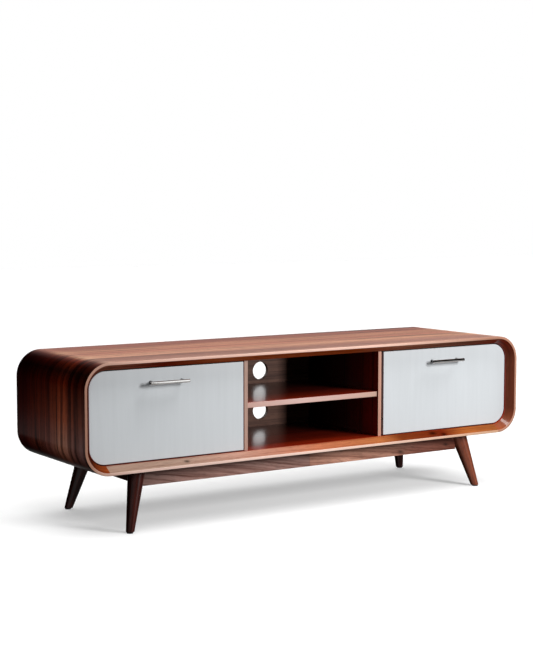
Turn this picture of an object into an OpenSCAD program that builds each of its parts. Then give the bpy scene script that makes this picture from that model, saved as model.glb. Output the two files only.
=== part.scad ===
// Low television stand: a wrap-round walnut case on a splayed-leg frame, with an open
// shelved bay between two drop-down doors. Millimetres. X is the width, Y runs from the
// front (negative) to the back, Z is up, and the origin is on the floor under the middle.

/* [Case] */
// overall width of the case
case_w = 1500; // [1200:10:1800]
// overall depth of the case
case_d = 430; // [380:5:480]
// height of the case without its legs
case_h = 300; // [260:5:360]
// radius of the four outside corners
corner_r = 73; // [50:1:90]
// thickness of the case boards
board_t = 23; // [18:1:28]
// thickness left at the front rim
rim_t = 7.5; // [5:0.5:12]
// depth of the slope from the rim to the full board
slope_d = 25; // [15:1:35]
// height of the case above the floor
leg_h = 165; // [120:5:200]

/* [Inside] */
// distance from the middle to each divider's inner face
bay_half = 229; // [180:1:300]
// thickness of the dividers
divider_t = 12; // [10:1:20]
// distance from the rim back to the divider edges
divider_set = 32; // [28:1:50]
// thickness of the shelf
shelf_t = 15; // [12:1:20]
// height of the shelf's underside above the case floor
shelf_rise = 118.5; // [100:0.5:140]
// distance from the shelf edge back from the divider edges
shelf_set = 5; // [0:0.5:10]
// thickness of the back panel
back_t = 12; // [6:1:15]
// distance from the back panel to the rear edge of the case
back_set = 26; // [15:1:40]
// diameter of the cable holes
cable_hole_d = 55; // [40:1:70]
// how far the cable holes sit to the right of the middle
cable_hole_x = 47; // [0:1:120]
// height of the lower cable hole above the case floor
cable_hole_low = 49; // [35:1:60]
// height of the upper cable hole above the case floor
cable_hole_high = 173; // [160:1:200]

/* [Doors] */
// thickness of the doors
door_t = 16; // [12:1:20]
// distance from the rim back to the door fronts
door_set = 28; // [20:1:35]
// gap between a door and the case
door_gap = 3; // [2.5:0.1:5]
// gap between a door and the divider beside it
door_side_gap = 5; // [3:0.5:8]
// diameter of the pivot pins
pivot_d = 5; // [4:0.5:6]
// radial running clearance of the pins in their bushes
pivot_play = 0.05; // [0.02:0.01:0.1]
// length of the handle bars
handle_len = 122; // [100:1:200]
// diameter of the handle bars
handle_d = 10; // [8:0.5:14]
// distance between handle posts
handle_posts = 96; // [64:32:160]
// distance from the door front to the middle of the bar
handle_stand = 22; // [18:0.5:22.5]
// height of the bars above the case floor
handle_rise = 213; // [150:1:230]
// how far both handles sit to the left of their doors' middles
handle_slip = 7.5; // [0:0.5:15]

/* [Frame and legs] */
// thickness of the frame rails
rail_t = 18; // [15:1:25]
// height of the frame rails
rail_h = 48.5; // [30:0.5:60]
// distance from the middle to the outside of the side rails
rail_half_x = 551; // [450:1:600]
// distance from the middle to the outside of the long rails
rail_half_y = 158; // [120:1:170]
// sideways distance of the leg tops from the middle
leg_top_x = 565.4; // [500:0.1:620]
// front-to-back distance of the leg tops from the middle
leg_top_y = 152.1; // [120:0.1:170]
// sideways distance of the feet from the middle
leg_foot_x = 607; // [520:1:680]
// front-to-back distance of the feet from the middle
leg_foot_y = 188.7; // [150:0.1:205]
// leg radius at the top
leg_r_top = 24.4; // [18:0.1:30]
// leg radius at the foot
leg_r_foot = 11.2; // [9:0.1:15]

/* [Hidden] */
$fn = 64;
eps = 1;              // how far cutting shapes run past the face they cut
snug = 0.05;          // clearance of pins and screws in their own body
x_out = case_w / 2;
y_front = -case_d / 2;
y_back = case_d / 2;
z_low = leg_h;
z_high = leg_h + case_h;
z_floor = z_low + board_t;
z_ceiling = z_high - board_t;
x_in = x_out - board_t;
x_bend = x_out - corner_r;
inner_r = corner_r - board_t;
back_y = y_back - back_set - back_t;
groove = 6;           // depth of the groove that holds the back panel
groove_play = 0.1;
divider_y = y_front + divider_set;
divider_x = bay_half + divider_t;
shelf_z = z_floor + shelf_rise;
shelf_pin_r = 2.5;
shelf_pin_y = 120;
door_front = y_front + door_set;
door_back = door_front + door_t;
door_x_out = x_in - door_gap;
door_x_in = divider_x + door_side_gap;
door_mid = (door_x_out + door_x_in) / 2;
door_r = inner_r - door_gap;
pivot_y = (door_front + door_back) / 2;
pivot_z = z_low + corner_r;
pivot_grip = 18;      // length of a pin inside the door
pivot_set_wall = 12;  // depth of a pin in the side wall
pivot_set_divider = 10;
bush_r = 5;
peg_r = 4;
peg_back = 24;        // how far behind the pivots the stop pegs sit
peg_play = 0.3;
peg_y = pivot_y + peg_back;
peg_z = pivot_z + door_t / 2 + peg_r + peg_play;
peg_reach_wall = 27;
peg_reach_divider = 18;
catch_w = 40;
catch_d = 14.7;
catch_h = 14;
strike_t = 1;
strike_play = 0.3;
handle_y = door_front - handle_stand;
handle_z = z_floor + handle_rise;
post_r = 4.5;
handle_screw_r = 2;
handle_screw_in = 12; // depth of a handle screw in its post
rail_z = z_low - rail_h;
glide_h = 3;
glide_r = 8.5;
leg_bolt_r = 4;
leg_bolt_low = 25;
leg_bolt_high = 16;
block_leg = 44;       // side of the triangular corner blocks
block_h = 36;
block_screw_r = 2.5;
splice_w = 120;
dowel_r = 4;
dowel_half = 20;
dowel_rows = [-120, 0, 120];
divider_dowel_r = 3;
divider_dowel_half = 10;

walnut = [0.30, 0.17, 0.11];
walnut_pale = [0.55, 0.40, 0.29];
walnut_dark = [0.18, 0.10, 0.07];
beech = [0.78, 0.62, 0.44];
door_paint = [0.78, 0.81, 0.82];
steel = [0.72, 0.72, 0.73];
black_steel = [0.10, 0.10, 0.10];
nylon = [0.12, 0.12, 0.13];

// ---- shared shapes ----

// a flat outline in X and Z carried from y0 back to y1
module along_y(y0, y1) {
    translate([0, y1, 0]) rotate([90, 0, 0]) linear_extrude(height = y1 - y0) children();
}

// a flat outline in Y and Z carried from x0 to x1
module along_x(x0, x1) {
    translate([x0, 0, 0]) rotate([90, 0, 90]) linear_extrude(height = x1 - x0) children();
}

module rod_x(x0, x1, y, z, r) {
    translate([x0, y, z]) rotate([0, 90, 0]) cylinder(h = x1 - x0, r = r);
}

module rod_y(y0, y1, x, z, r) {
    translate([x, y0, z]) rotate([-90, 0, 0]) cylinder(h = y1 - y0, r = r);
}

module rod_z(z0, z1, x, y, r) {
    translate([x, y, z0]) cylinder(h = z1 - z0, r = r);
}

module block(x0, x1, y0, y1, z0, z1) {
    translate([x0, y0, z0]) cube([x1 - x0, y1 - y0, z1 - z0]);
}

// the child as it stands and its reflection in the middle of the width
module both_sides() {
    children();
    mirror([1, 0, 0]) children();
}

// the child in all four corners of the plan
module four_corners() {
    both_sides() {
        children();
        mirror([0, 1, 0]) children();
    }
}

// the child turned upside down about the middle height of the case
module upside_down() {
    translate([0, 0, z_low + z_high]) mirror([0, 0, 1]) children();
}

// outline of the case, moved in by inset from its outside
module case_outline(inset) {
    r = corner_r - inset;
    for (x = [-x_bend, x_bend], z = [z_low + corner_r, z_high - corner_r])
        translate([x, z]) circle(r = r);
    translate([-x_bend, z_low + inset]) square([2 * x_bend, case_h - 2 * inset]);
    translate([-x_out + inset, z_low + corner_r])
        square([case_w - 2 * inset, case_h - 2 * corner_r]);
}

// ---- wrap-round case ----

module back_groove() {
    along_y(back_y - groove_play, back_y + back_t + groove_play) case_outline(board_t - groove);
}

// holes for the dowels that join the long boards to the end shells
module shell_dowel_rods(r, half) {
    for (y = dowel_rows, z = [z_low + board_t / 2, z_high - board_t / 2])
        rod_x(-x_bend - half, -x_bend + half, y, z, r);
}

module divider_dowel_rods(r, half) {
    for (y = dowel_rows, z = [z_floor, z_ceiling])
        rod_z(z - half, z + half, -bay_half - divider_t / 2, y, r);
}

module long_board() {
    difference() {
        along_x(-x_bend, x_bend) polygon([
            [y_front, z_high], [y_front, z_high - rim_t], [y_front + slope_d, z_ceiling],
            [y_back, z_ceiling], [y_back, z_high]]);
        back_groove();
        both_sides() {
            shell_dowel_rods(dowel_r + snug, dowel_half + eps);
            divider_dowel_rods(divider_dowel_r + snug, divider_dowel_half + eps);
        }
    }
}

module top_board() color(walnut) long_board();

module bottom_board() color(walnut) difference() {
    upside_down() long_board();
    four_corners() {
        rod_z(z_low - eps, z_low + leg_bolt_high + eps, leg_top_x, leg_top_y, leg_bolt_r + snug);
        corner_screw_rods(block_screw_r + snug, eps);
    }
}

// the sloping front of an end shell's hollow: a cone at each bend and a wedge between
module end_flare() {
    rise = (board_t - rim_t) / slope_d;
    flare_r = corner_r - rim_t + eps * rise;
    small_r = inner_r - eps * rise;
    for (z = [z_low + corner_r, z_high - corner_r])
        translate([-x_bend, y_front - eps, z]) rotate([-90, 0, 0])
            cylinder(h = slope_d + 2 * eps, r1 = flare_r, r2 = small_r);
    translate([0, 0, z_low + corner_r]) linear_extrude(height = case_h - 2 * corner_r) polygon([
        [-x_bend + eps, y_front - eps], [-x_bend - flare_r, y_front - eps],
        [-x_bend - small_r, y_front + slope_d + eps], [-x_bend + eps, y_front + slope_d + eps]]);
}

module end_shell() {
    difference() {
        along_y(y_front, y_back) intersection() {
            case_outline(0);
            translate([-x_out, z_low]) square([corner_r, case_h]);
        }
        along_y(y_front + slope_d, y_back + eps) case_outline(board_t);
        end_flare();
        back_groove();
        shell_dowel_rods(dowel_r + snug, dowel_half + eps);
        rod_x(-x_in - pivot_set_wall - snug, -x_in + eps, pivot_y, pivot_z, pivot_d / 2 + snug);
        rod_x(-x_in - pivot_set_wall - snug, -x_in + eps, peg_y, peg_z, peg_r + snug);
    }
}

module left_end_shell() color(walnut) end_shell();
module right_end_shell() color(walnut) mirror([1, 0, 0]) end_shell();
module left_shell_dowels() color(beech) shell_dowel_rods(dowel_r, dowel_half);
module right_shell_dowels() color(beech) mirror([1, 0, 0]) shell_dowel_rods(dowel_r, dowel_half);

// ---- bay between the doors ----

module shelf_pin_rods(r, half) {
    for (y = [-shelf_pin_y, shelf_pin_y])
        rod_x(-bay_half - half, -bay_half + half, y, shelf_z - shelf_pin_r, r);
}

module divider() {
    difference() {
        block(-divider_x, -bay_half, divider_y, back_y, z_floor, z_ceiling);
        divider_dowel_rods(divider_dowel_r + snug, divider_dowel_half + snug);
        shelf_pin_rods(shelf_pin_r + snug, 8 + snug);
        rod_x(-divider_x - eps, -divider_x + pivot_set_divider + snug,
              pivot_y, pivot_z, pivot_d / 2 + snug);
        rod_x(-divider_x - eps, -divider_x + pivot_set_divider + snug, peg_y, peg_z, peg_r + snug);
    }
}

module left_divider() color(walnut_pale) divider();
module right_divider() color(walnut_pale) mirror([1, 0, 0]) divider();
module divider_dowels() color(beech) both_sides()
    divider_dowel_rods(divider_dowel_r, divider_dowel_half);

module shelf() color(walnut_pale)
    block(-bay_half, bay_half, divider_y + shelf_set, back_y, shelf_z, shelf_z + shelf_t);

module shelf_pins() color(steel) both_sides() shelf_pin_rods(shelf_pin_r, 8);

module back_panel() color(walnut_dark) difference() {
    along_y(back_y, back_y + back_t) case_outline(board_t - groove + groove_play);
    for (rise = [cable_hole_low, cable_hole_high])
        rod_y(back_y - eps, back_y + back_t + eps, cable_hole_x, z_floor + rise, cable_hole_d / 2);
}

// ---- splayed-leg frame ----

// one turned leg in the front left corner: a tapered round leaning out to both sides
module leg_cone(extra) {
    lean = norm([leg_foot_x - leg_top_x, leg_foot_y - leg_top_y]);
    turn = atan2(leg_foot_y - leg_top_y, leg_foot_x - leg_top_x);
    long = norm([lean, leg_h]);
    run = 12;
    slim = (leg_r_top - leg_r_foot) / long * run;
    translate([-leg_top_x, -leg_top_y, leg_h]) rotate([0, 0, turn])
        rotate([0, 180 + atan2(lean, leg_h), 0]) translate([0, 0, -run])
            cylinder(h = long + 2 * run, r1 = leg_r_top + slim + extra,
                     r2 = leg_r_foot - slim + extra);
}

module leg() {
    difference() {
        intersection() {
            leg_cone(0);
            block(-x_out, 0, y_front, 0, glide_h, leg_h);
        }
        rod_z(leg_h - leg_bolt_low - snug, leg_h + eps, -leg_top_x, -leg_top_y, leg_bolt_r + snug);
    }
}

module front_left_leg() color(walnut) leg();
module front_right_leg() color(walnut) mirror([1, 0, 0]) leg();
module rear_left_leg() color(walnut) mirror([0, 1, 0]) leg();
module rear_right_leg() color(walnut) mirror([1, 0, 0]) mirror([0, 1, 0]) leg();

module leg_bolts() color(steel) four_corners()
    rod_z(leg_h - leg_bolt_low, leg_h + leg_bolt_high, leg_top_x, leg_top_y, leg_bolt_r);

module foot_glides() color(nylon) four_corners()
    rod_z(0, glide_h, leg_foot_x, leg_foot_y, glide_r);

// a rail hollowed at its ends to seat against the round legs
module seated_rail() {
    difference() {
        children();
        four_corners() leg_cone(0.1);
    }
}

module long_rail(x0, x1) {
    seated_rail() block(x0, x1, -rail_half_y, -rail_half_y + rail_t, rail_z, z_low);
}

module side_rail() {
    inside = rail_half_y - rail_t;
    seated_rail() block(-rail_half_x, -rail_half_x + rail_t, -inside, inside, rail_z, z_low);
}

module front_rail_left_half() color(walnut) difference() {
    long_rail(-rail_half_x, 0);
    splice_screw_rods(block_screw_r - 0.5 + snug, eps);
}

module front_rail_right_half() color(walnut) difference() {
    long_rail(0, rail_half_x);
    splice_screw_rods(block_screw_r - 0.5 + snug, eps);
}

module rear_rail() color(walnut) mirror([0, 1, 0]) long_rail(-rail_half_x, rail_half_x);
module left_side_rail() color(walnut) side_rail();
module right_side_rail() color(walnut) mirror([1, 0, 0]) side_rail();

// screws through the splice block into both halves of the front rail
module splice_screw_rods(r, extra) {
    inside = -rail_half_y + rail_t;
    for (x = [-splice_w / 2 + 20, -20, 20, splice_w / 2 - 20])
        rod_y(inside - 10 - extra * snug, inside + rail_t + extra, x, z_low - block_h / 2, r);
}

module rail_splice_block() color(beech) difference() {
    inside = -rail_half_y + rail_t;
    block(-splice_w / 2, splice_w / 2, inside, inside + rail_t, z_low - block_h, z_low);
    splice_screw_rods(block_screw_r - 0.5 + snug, eps);
}

module splice_screws() color(steel) {
    inside = -rail_half_y + 2 * rail_t;
    splice_screw_rods(block_screw_r - 0.5, 0);
    for (x = [-splice_w / 2 + 20, -20, 20, splice_w / 2 - 20])
        rod_y(inside, inside + 2.5, x, z_low - block_h / 2, 4);
}

// one upright screw through each corner block, drawn in the rear right corner
module corner_screw_rods(r, extra) {
    rod_z(z_low - block_h - extra, z_low + 12 + extra * snug,
          rail_half_x - rail_t - block_leg / 3, rail_half_y - rail_t - block_leg / 3, r);
}

module corner_blocks() color(beech) four_corners() difference() {
    x = rail_half_x - rail_t;
    y = rail_half_y - rail_t;
    translate([0, 0, z_low - block_h]) linear_extrude(height = block_h)
        polygon([[x, y], [x - block_leg, y], [x, y - block_leg]]);
    corner_screw_rods(block_screw_r + snug, eps);
}

module corner_block_screws() color(steel) four_corners() {
    corner_screw_rods(block_screw_r, 0);
    rod_z(z_low - block_h - 2.5, z_low - block_h, rail_half_x - rail_t - block_leg / 3,
          rail_half_y - rail_t - block_leg / 3, 5);
}

// ---- door pivots, stops and catches on the case ----

module pivot_pins() {
    rod_x(-x_in - pivot_set_wall, -door_x_out + pivot_grip - eps, pivot_y, pivot_z, pivot_d / 2);
    rod_x(-door_x_in - pivot_grip + eps, -divider_x + pivot_set_divider,
          pivot_y, pivot_z, pivot_d / 2);
}

module left_pivot_pins() color(black_steel) pivot_pins();
module right_pivot_pins() color(black_steel) mirror([1, 0, 0]) pivot_pins();

module stop_pegs() color(nylon) both_sides() {
    rod_x(-x_in - pivot_set_wall, -x_in + peg_reach_wall, peg_y, peg_z, peg_r);
    rod_x(-divider_x - peg_reach_divider - door_side_gap, -divider_x + pivot_set_divider,
          peg_y, peg_z, peg_r);
}

module magnet_catches() color(nylon) both_sides() {
    front = door_back + strike_t + strike_play;
    block(-door_mid - catch_w / 2, -door_mid + catch_w / 2, front, front + catch_d,
          z_ceiling - catch_h, z_ceiling);
}

// ---- doors ----

module door_bush_rods(r, extra) {
    rod_x(-door_x_out - extra, -door_x_out + pivot_grip, pivot_y, pivot_z, r);
    rod_x(-door_x_in - pivot_grip, -door_x_in + extra, pivot_y, pivot_z, r);
}

// where the two posts of a handle stand; slip moves the handle away from the bay
function post_places(slip) = [for (end = [-1, 1]) -door_mid - slip + end * handle_posts / 2];

module handle_screw_rods(slip, r, extra) {
    for (x = post_places(slip))
        rod_y(door_front - handle_screw_in - extra * snug, door_back + extra, x, handle_z, r);
}

module door(slip) {
    difference() {
        along_y(door_front, door_back) intersection() {
            case_outline(board_t + door_gap);
            translate([-x_out, z_low]) square([x_out - door_x_in, case_h]);
        }
        door_bush_rods(bush_r + snug, eps);
        handle_screw_rods(slip, handle_screw_r + snug, eps);
    }
}

module door_bushes() {
    difference() {
        door_bush_rods(bush_r, 0);
        door_bush_rods(pivot_d / 2 + pivot_play, eps);
        rod_x(-door_x_in - pivot_grip - eps, -door_x_in, pivot_y, pivot_z,
              pivot_d / 2 + pivot_play);
        rod_x(-door_x_out, -door_x_out + pivot_grip + eps, pivot_y, pivot_z,
              pivot_d / 2 + pivot_play);
    }
}

module handle_bar(slip) {
    rod_x(-door_mid - slip - handle_len / 2, -door_mid - slip + handle_len / 2,
          handle_y, handle_z, handle_d / 2);
}

module handle_posts_pair(slip) {
    difference() {
        for (x = post_places(slip)) rod_y(handle_y, door_front, x, handle_z, post_r);
        handle_bar(slip);
        handle_screw_rods(slip, handle_screw_r + snug, eps);
    }
}

module handle_screws(slip) {
    handle_screw_rods(slip, handle_screw_r, 0);
    for (x = post_places(slip)) rod_y(door_back, door_back + 2.5, x, handle_z, 4);
}

module strike_plate() {
    block(-door_mid - catch_w / 2, -door_mid + catch_w / 2, door_back, door_back + strike_t,
          z_ceiling - catch_h - 4, z_ceiling - door_gap - 3);
}

module left_door() color(door_paint) door(handle_slip);
module left_door_bushes() color(nylon) door_bushes();
module left_handle_bar() color(steel) handle_bar(handle_slip);
module left_handle_posts() color(steel) handle_posts_pair(handle_slip);
module left_handle_screws() color(steel) handle_screws(handle_slip);
module left_strike_plate() color(steel) strike_plate();
module right_door() color(door_paint) mirror([1, 0, 0]) door(-handle_slip);
module right_door_bushes() color(nylon) mirror([1, 0, 0]) door_bushes();
module right_handle_bar() color(steel) mirror([1, 0, 0]) handle_bar(-handle_slip);
module right_handle_posts() color(steel) mirror([1, 0, 0]) handle_posts_pair(-handle_slip);
module right_handle_screws() color(steel) mirror([1, 0, 0]) handle_screws(-handle_slip);
module right_strike_plate() color(steel) mirror([1, 0, 0]) strike_plate();

// ---- what is drawn ----

top_board();
bottom_board();
left_end_shell();
right_end_shell();
left_shell_dowels();
right_shell_dowels();
left_divider();
right_divider();
divider_dowels();
shelf();
shelf_pins();
back_panel();
front_rail_left_half();
front_rail_right_half();
rail_splice_block();
splice_screws();
rear_rail();
left_side_rail();
right_side_rail();
corner_blocks();
corner_block_screws();
front_left_leg();
front_right_leg();
rear_left_leg();
rear_right_leg();
leg_bolts();
foot_glides();
left_pivot_pins();
right_pivot_pins();
stop_pegs();
magnet_catches();
left_door();
left_door_bushes();
left_handle_bar();
left_handle_posts();
left_handle_screws();
left_strike_plate();
right_door();
right_door_bushes();
right_handle_bar();
right_handle_posts();
right_handle_screws();
right_strike_plate();
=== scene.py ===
"""Looks for a low walnut television stand with drop-down doors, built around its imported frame.

Lengths are metres. X is the width, Y runs from the front (negative) to the back, Z is up.
"""
import math

import bpy
import numpy as np
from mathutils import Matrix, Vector


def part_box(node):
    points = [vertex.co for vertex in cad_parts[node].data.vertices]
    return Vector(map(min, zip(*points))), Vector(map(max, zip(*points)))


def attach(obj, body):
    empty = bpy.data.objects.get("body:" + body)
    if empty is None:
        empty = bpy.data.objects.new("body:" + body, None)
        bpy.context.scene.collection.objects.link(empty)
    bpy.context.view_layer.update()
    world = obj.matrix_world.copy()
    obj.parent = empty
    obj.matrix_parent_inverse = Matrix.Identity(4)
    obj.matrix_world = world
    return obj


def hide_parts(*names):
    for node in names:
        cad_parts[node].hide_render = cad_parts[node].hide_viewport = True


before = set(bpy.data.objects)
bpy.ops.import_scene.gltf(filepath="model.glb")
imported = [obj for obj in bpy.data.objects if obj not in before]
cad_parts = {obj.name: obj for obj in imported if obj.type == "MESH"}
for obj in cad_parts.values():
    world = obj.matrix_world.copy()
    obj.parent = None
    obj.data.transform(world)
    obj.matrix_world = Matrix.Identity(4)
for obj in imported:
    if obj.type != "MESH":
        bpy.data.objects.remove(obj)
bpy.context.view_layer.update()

MM = 0.001

# ---- sizes read from the frame ----

top_low, top_high = (np.array(c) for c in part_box("top_board"))
shell_low, shell_high = (np.array(c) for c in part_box("left_end_shell"))
door_low, door_high = (np.array(c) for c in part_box("left_door"))
leg_foot_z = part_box("front_left_leg")[0][2]

case_front, case_back = top_low[1], top_high[1]
case_low, case_high = shell_low[2], shell_high[2]
case_half = -shell_low[0]
bend_x = -shell_high[0]
corner_r = case_half - bend_x
board_t = top_high[2] - top_low[2]
door_gap = 3 * MM
rim_t = 7.5 * MM
slope_d = 25 * MM

# ---- meshes worked out with numpy ----


def eased(corners, radii, steps=4):
    """Closed outline with rounded corners: each corner c with unit ways a and b to its
    neighbours and half angle h becomes the arc of radius r about c + (a+b)/|a+b| * r/sin h,
    running from c + a*r/tan h to c + b*r/tan h."""
    corners = np.asarray(corners, float)
    out = []
    for i, c in enumerate(corners):
        a = corners[i - 1] - c
        b = corners[(i + 1) % len(corners)] - c
        a, b = a / np.linalg.norm(a), b / np.linalg.norm(b)
        r = radii[i]
        if r == 0:
            out.append(c[None])
            continue
        half = math.acos(np.clip(a @ b, -1, 1)) / 2
        centre = c + (a + b) / np.linalg.norm(a + b) * r / math.sin(half)
        start, end = c + a * r / math.tan(half) - centre, c + b * r / math.tan(half) - centre
        swing = math.acos(np.clip(start @ end / r ** 2, -1, 1))
        t = np.linspace(0, 1, steps + 1)[:, None]
        out.append(centre + (np.sin((1 - t) * swing) * start + np.sin(t * swing) * end)
                   / math.sin(swing))
    return np.vstack(out)


def make_piece(name, verts, faces, materials, face_slots=None, grain=None, smooth=8):
    """A mesh object from whole arrays. grain holds one vector per point: the length along
    the grain, the width across it and the depth below the surface. Edges that turn by more
    than smooth degrees stay sharp, so that flat faces are shaded flat."""
    mesh = bpy.data.meshes.new(name)
    mesh.from_pydata(np.asarray(verts).tolist(), [], [list(map(int, f)) for f in faces])
    for m in materials:
        mesh.materials.append(m)
    mesh.polygons.foreach_set("use_smooth", np.ones(len(mesh.polygons), bool))
    if face_slots is not None:
        mesh.polygons.foreach_set("material_index", np.asarray(face_slots, np.int32))
    if grain is not None:
        layer = mesh.attributes.new("grain", "FLOAT_VECTOR", "POINT")
        layer.data.foreach_set("vector", np.asarray(grain, np.float32).ravel())
    mesh.update()
    mesh.set_sharp_from_angle(angle=math.radians(smooth))
    piece = bpy.data.objects.new(name, mesh)
    bpy.context.scene.collection.objects.link(piece)
    return piece


def ring_faces(rows, cols, flip=False):
    """Faces of a closed tube of rows rings with cols points each: the quads (r, c),
    (r, c+1), (r+1, c+1), (r+1, c), with c wrapped round, and then the two end rings."""
    r = np.arange(rows - 1)[:, None]
    c = np.arange(cols)[None]
    n = (c + 1) % cols
    quads = np.stack([r * cols + c, r * cols + n, (r + 1) * cols + n, (r + 1) * cols + c],
                     -1).reshape(-1, 4)
    ring = np.arange(cols)
    faces = [*quads, ring[::-1], ring + (rows - 1) * cols]
    return [face[::-1] for face in faces] if flip else faces


def outline_area(outline):
    """Signed area: half the sum of x*y' - x'*y round the outline."""
    x, y = outline.T
    return 0.5 * float(np.sum(x * np.roll(y, -1) - np.roll(x, -1) * y))


def case_profile():
    """Cross-section of the case wall as (y, depth below the outside): a thin front rim, a
    straight slope down to the full board, then a flat inner wall, every corner eased."""
    corners = [(case_back, 0), (case_front, 0), (case_front, rim_t),
               (case_front + slope_d, board_t), (case_back, board_t)]
    outer_rear, outer_front, rim_inner, slope_foot, inner_rear = 1.2, 1.3, 0.9, 3.0, 0.8
    radii = [outer_rear, outer_front, rim_inner, slope_foot, inner_rear]
    return eased(corners, [r * MM for r in radii], 5)


def wall_zone(y, depth):
    """0 outside, 1 front rim, 2 slope, 3 inside and rear edge, by where a face's middle is."""
    rim_end = case_front + 0.6 * MM
    on_slope = (y > rim_end) & (y < case_front + slope_d) & (depth > 0.9 * rim_t)
    zone = np.where(depth < 0.8 * MM, 0, 3)
    zone = np.where((y < rim_end) & (depth > 0.5 * MM), 1, zone)
    return np.where(on_slope, 2, zone)


def case_wall(name, along, outside, inward, materials):
    """Sweep: point(i, j) = outside(i) + depth(j) * inward(i), at y(j), for path point i and
    profile point j; both ends are closed with the profile itself."""
    profile = case_profile()
    y, depth = profile.T
    n, m = len(outside), len(profile)
    xz = outside[:, None] + depth[None, :, None] * inward[:, None]
    verts = np.stack([xz[..., 0], np.broadcast_to(y, (n, m)), xz[..., 1]], -1).reshape(-1, 3)
    way = np.gradient(outside, axis=0)[0]
    # outward when the path's way, the profile's turn and the inward side agree
    turn = np.sign(outline_area(profile)) * np.sign(way[0] * inward[0, 1] - way[1] * inward[0, 0])
    grain = np.stack([np.broadcast_to(along[:, None], (n, m)), np.broadcast_to(y, (n, m)),
                      np.broadcast_to(depth, (n, m))], -1).reshape(-1, 3)
    y_mid, d_mid = (y + np.roll(y, -1)) / 2, (depth + np.roll(depth, -1)) / 2
    zones = np.tile(wall_zone(y_mid, d_mid), n - 1)
    return make_piece(name, verts, ring_faces(n, m, turn < 0), materials,
                      np.append(zones, [3, 3]), grain)


def straight_path(x0, x1, z, inward_z, steps=30):
    """Points (x, z) from x0 to x1 at one height, with the way into the board."""
    x = np.linspace(x0, x1, steps)
    outside = np.stack([x, np.full(steps, z)], 1)
    return outside, np.tile([0.0, inward_z], (steps, 1))


def end_path(side, steps=28, drop_points=6):
    """Round an end of the case, top to bottom: a quarter turn of corner_r about
    (side*bend_x, case_high - corner_r), a straight drop, and a second quarter turn."""
    turn = np.linspace(math.pi / 2, 0, steps)
    upper = np.stack([np.cos(turn), np.sin(turn)], 1)
    lower = upper[::-1] * [1, -1]
    drop = np.tile([1.0, 0.0], (drop_points, 1))
    out = np.vstack([upper, drop, lower])
    z_drop = np.linspace(case_high - corner_r, case_low + corner_r, drop_points + 2)[1:-1]
    z_mid = np.concatenate([np.full(steps, case_high - corner_r), z_drop,
                            np.full(steps, case_low + corner_r)])
    out = out * [side, 1]
    outside = np.stack([np.full(len(out), side * bend_x), z_mid], 1) + corner_r * out
    return outside, -out


def path_length(outside):
    """Distance run along the path at each of its points: the sum of the steps before it."""
    return np.concatenate([[0], np.cumsum(np.linalg.norm(np.diff(outside, axis=0), axis=1))])


def board(name, low, high, ease, materials, grain_axis=0, slot_of_front=None):
    """Board with eased edges: a rectangle with rounded corners in the two axes across
    grain_axis, carried straight along it. Over the last ease metres at each end it shrinks
    by ease * (1 - sin b) as b runs over a quarter turn. slot_of_front is the material on the
    front face."""
    low, high = np.array(low, float), np.array(high, float)
    across = [a for a in range(3) if a != grain_axis]
    rect = [(low[across[0]], low[across[1]]), (high[across[0]], low[across[1]]),
            (high[across[0]], high[across[1]]), (low[across[0]], high[across[1]])]
    steps = 4
    bend = np.linspace(0, math.pi / 2, steps + 1)
    shrink = np.concatenate([ease * (1 - np.sin(bend)), ease * (1 - np.sin(bend[::-1]))])
    place = np.concatenate([low[grain_axis] + ease * (1 - np.cos(bend)),
                            high[grain_axis] - ease * (1 - np.cos(bend[::-1]))])
    rings = []
    for s, p in zip(shrink, place):
        inner = [(x + (s if x == rect[0][0] else -s), y + (s if y == rect[0][1] else -s))
                 for x, y in rect]
        flat = eased(inner, [max(ease - s, 0.05 * ease)] * 4, steps)
        ring = np.empty((len(flat), 3))
        ring[:, across[0]], ring[:, across[1]], ring[:, grain_axis] = flat[:, 0], flat[:, 1], p
        rings.append(ring)
    verts = np.vstack(rings)
    faces = ring_faces(len(rings), len(rings[0]), grain_axis == 1)
    slots = None
    if slot_of_front is not None:
        middles = np.array([verts[f].mean(0) for f in faces])
        slots = np.where(middles[:, 1] < low[1] + 0.3 * ease, slot_of_front, 0)
    return make_piece(name, verts, faces, materials, slots)


def turned(name, rings, materials, grain=None, smooth=8):
    """Surface through rings of points, one ring per row, closed at both ends; the last
    material goes on the two end faces."""
    faces = ring_faces(*rings.shape[:2])
    slots = np.append(np.zeros(len(faces) - 2, int), [len(materials) - 1] * 2)
    return make_piece(name, rings.reshape(-1, 3), faces, materials, slots, grain, smooth)


def round_bar(name, start, end, stations, materials, sides=40):
    """Round bar on the line from start to end: ring k lies t metres along it with radius r,
    for each (t, r) in stations."""
    start, end = Vector(start), Vector(end)
    way = (end - start).normalized()
    side = way.orthogonal().normalized()
    up = way.cross(side)
    side, up, way, start = (np.array(v) for v in (side, up, way, start))
    turn = np.linspace(0, 2 * math.pi, sides, endpoint=False)[None, :, None]
    t, r = (np.array(c)[:, None, None] for c in zip(*stations))
    rings = start + t * way + r * (np.cos(turn) * side + np.sin(turn) * up)
    return turned(name, rings, materials, None, 12)


# ---- materials ----


def new_material(name):
    """An empty material: its principled shader is joined to its output."""
    mat = bpy.data.materials.new(name)
    mat.use_nodes = True
    tree = mat.node_tree
    tree.nodes.clear()
    out = tree.nodes.new("ShaderNodeOutputMaterial")
    skin = tree.nodes.new("ShaderNodeBsdfPrincipled")
    tree.links.new(skin.outputs[0], out.inputs[0])
    return mat, tree, skin


def add(tree, kind, inputs=None, **props):
    """A node with its properties and inputs set; an input may be a value or a socket."""
    node = tree.nodes.new(kind)
    for key, value in props.items():
        setattr(node, key, value)
    for key, value in (inputs or {}).items():
        if isinstance(value, bpy.types.NodeSocket):
            tree.links.new(value, node.inputs[key])
        else:
            node.inputs[key].default_value = value
    return node


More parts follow.
